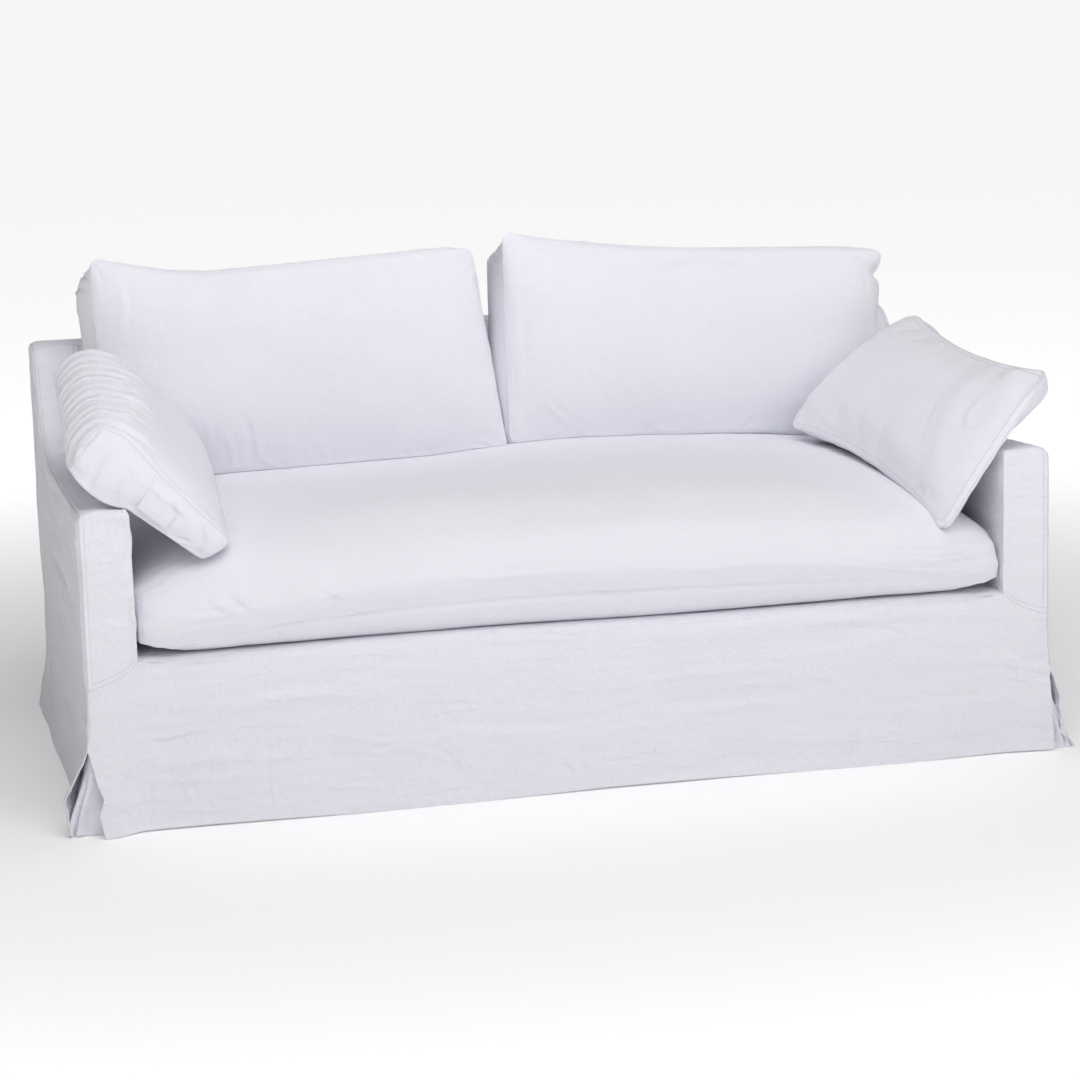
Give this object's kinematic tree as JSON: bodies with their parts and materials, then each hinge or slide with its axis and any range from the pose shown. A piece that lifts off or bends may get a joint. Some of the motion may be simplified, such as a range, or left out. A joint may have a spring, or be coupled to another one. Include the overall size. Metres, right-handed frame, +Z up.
{
  "type": "sofa slipcover",
  "caption": "Fitted fabric sofa cover with a floor-length skirt open at the corners, a bench seat cushion, box back cushions and pillows resting over the arms.",
  "frame": {"origin": "on the floor under the middle of the cover", "axes": "+X along the cover's length to the right seen from the front, -Y to the front, +Z up"},
  "size_m": [2.0026, 1.0685, 1.0194],
  "materials": {
    "cover_cloth": "matte woven cotton",
    "cushion_cloth": "matte woven cotton, filled"
  },
  "bodies": {
    "root": {"skirt_front": "cover_cloth", "arm_front_left": "cover_cloth", "arm_front_right": "cover_cloth", "arm_top_left": "cover_cloth", "arm_top_right": "cover_cloth", "side_left": "cover_cloth", "side_right": "cover_cloth", "arm_inside_left": "cover_cloth", "arm_inside_right": "cover_cloth", "back_inside": "cover_cloth", "back_top": "cover_cloth", "back_outside": "cover_cloth", "seat_deck": "cover_cloth", "vent_front_left": "cover_cloth", "vent_front_right": "cover_cloth", "vent_rear_left": "cover_cloth", "vent_rear_right": "cover_cloth", "seat_cushion": "cushion_cloth", "back_cushion_left": "cushion_cloth", "back_cushion_right": "cushion_cloth", "arm_pillow_left": "cushion_cloth", "arm_pillow_right": "cushion_cloth", "pillow_placket": "cushion_cloth"}
  },
  "joints": []
}
